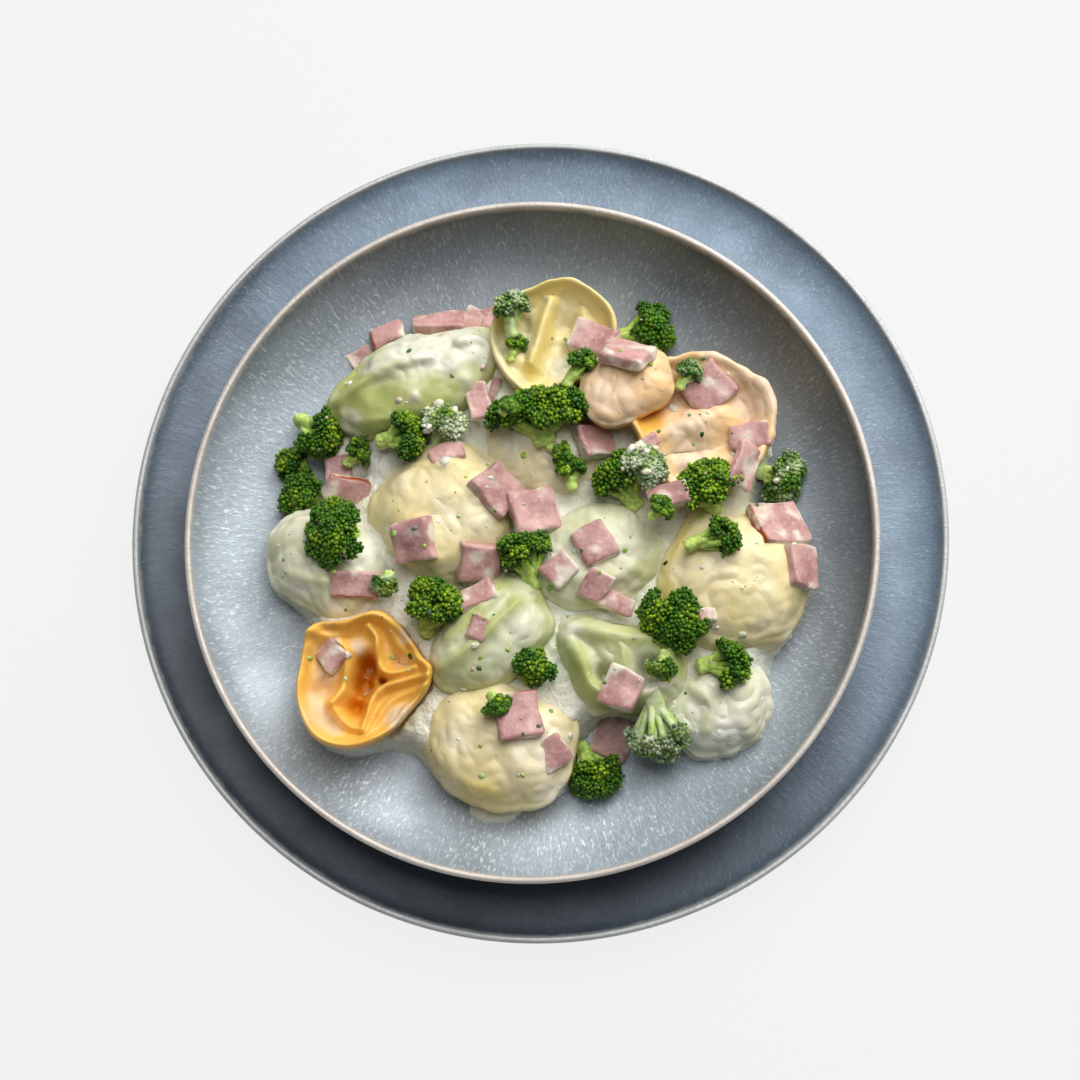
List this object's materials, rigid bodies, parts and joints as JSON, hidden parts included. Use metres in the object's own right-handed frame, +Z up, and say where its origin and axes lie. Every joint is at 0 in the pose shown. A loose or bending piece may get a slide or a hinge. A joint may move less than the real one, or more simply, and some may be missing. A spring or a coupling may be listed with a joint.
{
  "type": "plated tortellini meal",
  "caption": "Folded filled pasta in cream sauce with broccoli and ham dice, on a grey-blue stoneware plate and underplate.",
  "frame": {"origin": "centre of the underplate's foot, on the surface it stands on", "axes": "+Z up, +X to the right of the served dish, +Y towards its back"},
  "size_m": [0.268, 0.268, 0.0571],
  "materials": {
    "underplate_glaze": "glossy reactive glaze, speckled",
    "plate_glaze": "glossy reactive glaze, speckled, cream rim",
    "cream_sauce": "wet, smooth",
    "dough_egg": "moist cooked dough",
    "dough_spinach": "moist cooked dough",
    "dough_tomato": "moist cooked dough",
    "broccoli": "moist, beaded",
    "ham": "moist cut meat"
  },
  "bodies": {
    "root": {"underplate": "underplate_glaze", "plate": "plate_glaze", "sauce": "cream_sauce", "pasta_egg_back": "dough_egg", "pasta_egg_centre": "dough_egg", "pasta_egg_front": "dough_egg", "pasta_egg_middle": "dough_egg", "pasta_egg_right": "dough_egg", "pasta_spinach_back": "dough_spinach", "pasta_spinach_centre": "dough_spinach", "pasta_spinach_corner": "dough_spinach", "pasta_spinach_front": "dough_spinach", "pasta_spinach_left": "dough_spinach", "pasta_spinach_middle": "dough_spinach", "pasta_tomato_back": "dough_tomato", "pasta_tomato_front": "dough_tomato", "pasta_tomato_right": "dough_tomato", "broccoli_back_right": "broccoli", "broccoli_centre_back": "broccoli", "broccoli_centre_right": "broccoli", "broccoli_corner": "broccoli", "broccoli_fan_left": "broccoli", "broccoli_front_edge": "broccoli", "broccoli_front_small": "broccoli", "broccoli_left_front": "broccoli", "broccoli_left_lower": "broccoli", "broccoli_left_outer": "broccoli", "broccoli_left_small": "broccoli", "broccoli_left_upper": "broccoli", "broccoli_middle": "broccoli", "broccoli_right_edge": "broccoli", "broccoli_right_front": "broccoli", "broccoli_right_lying": "broccoli", "broccoli_right_upper": "broccoli", "broccoli_sauced_centre": "broccoli", "broccoli_sauced_front": "broccoli", "broccoli_sauced_left": "broccoli", "ham_back_left": "ham", "ham_back_pale": "ham", "ham_back_right": "ham", "ham_back_rind": "ham", "ham_centre_back": "ham", "ham_centre_front": "ham", "ham_centre_large": "ham", "ham_centre_left": "ham", "ham_diamond": "ham", "ham_front_cup": "ham", "ham_front_edge": "ham", "ham_front_rind": "ham", "ham_left_lower": "ham", "ham_left_rind": "ham", "ham_left_upper": "ham", "ham_middle_front": "ham", "ham_middle_square": "ham", "ham_right_end": "ham", "ham_right_red": "ham", "ham_right_upper": "ham", "ham_right_wrap": "ham"}
  },
  "joints": []
}
